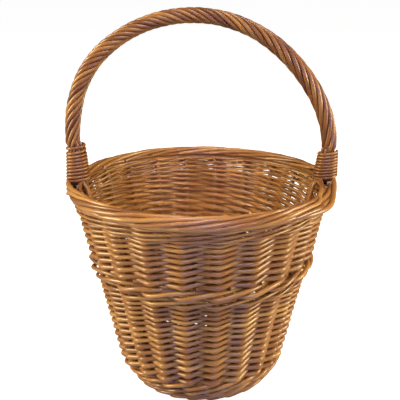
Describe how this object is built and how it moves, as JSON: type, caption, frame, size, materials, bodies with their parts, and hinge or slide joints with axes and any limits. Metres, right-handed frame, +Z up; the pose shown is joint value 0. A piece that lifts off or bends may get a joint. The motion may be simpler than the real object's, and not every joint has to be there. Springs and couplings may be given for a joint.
{
  "type": "egg collection basket",
  "caption": "Round tapering willow basket for collecting eggs, open at the top, with a rolled border and a tall fixed roped bow handle.",
  "frame": {"origin": "centre of the base on the ground", "axes": "+Z up; the arch of the handle stands in the X-Z plane; the front of the basket faces -Y"},
  "size_m": [0.274, 0.2702, 0.3844],
  "materials": {
    "willow_siding": "satin",
    "willow_wale": "satin",
    "willow_stakes": "satin",
    "willow_base": "satin",
    "willow_border": "satin",
    "willow_handle": "satin",
    "willow_wrap": "satin"
  },
  "bodies": {
    "root": {"base_stick_pierced_1": "willow_base", "base_stick_pierced_2": "willow_base", "base_stick_pierced_3": "willow_base", "base_stick_through_1": "willow_base", "base_stick_through_2": "willow_base", "base_stick_through_3": "willow_base", "base_weave": "willow_base", "stake_01": "willow_stakes", "stake_02": "willow_stakes", "stake_03": "willow_stakes", "stake_04": "willow_stakes", "stake_05": "willow_stakes", "stake_06": "willow_stakes", "stake_07": "willow_stakes", "stake_08": "willow_stakes", "stake_09": "willow_stakes", "stake_10": "willow_stakes", "stake_11": "willow_stakes", "stake_12": "willow_stakes", "stake_13": "willow_stakes", "stake_14": "willow_stakes", "stake_15": "willow_stakes", "stake_16": "willow_stakes", "stake_17": "willow_stakes", "stake_18": "willow_stakes", "stake_19": "willow_stakes", "stake_20": "willow_stakes", "stake_21": "willow_stakes", "stake_22": "willow_stakes", "upsett_wale": "willow_wale", "lower_siding": "willow_siding", "mid_wale": "willow_wale", "upper_siding": "willow_siding", "top_wale": "willow_wale", "rolled_border": "willow_border", "handle_bow": "willow_handle", "handle_strand_1": "willow_handle", "handle_strand_2": "willow_handle", "handle_strand_3": "willow_handle", "handle_strand_4": "willow_handle", "handle_strand_5": "willow_handle", "handle_strand_6": "willow_handle", "handle_strand_7": "willow_handle", "handle_strand_8": "willow_handle", "handle_wrap_left": "willow_wrap", "handle_wrap_right": "willow_wrap"}
  },
  "joints": []
}
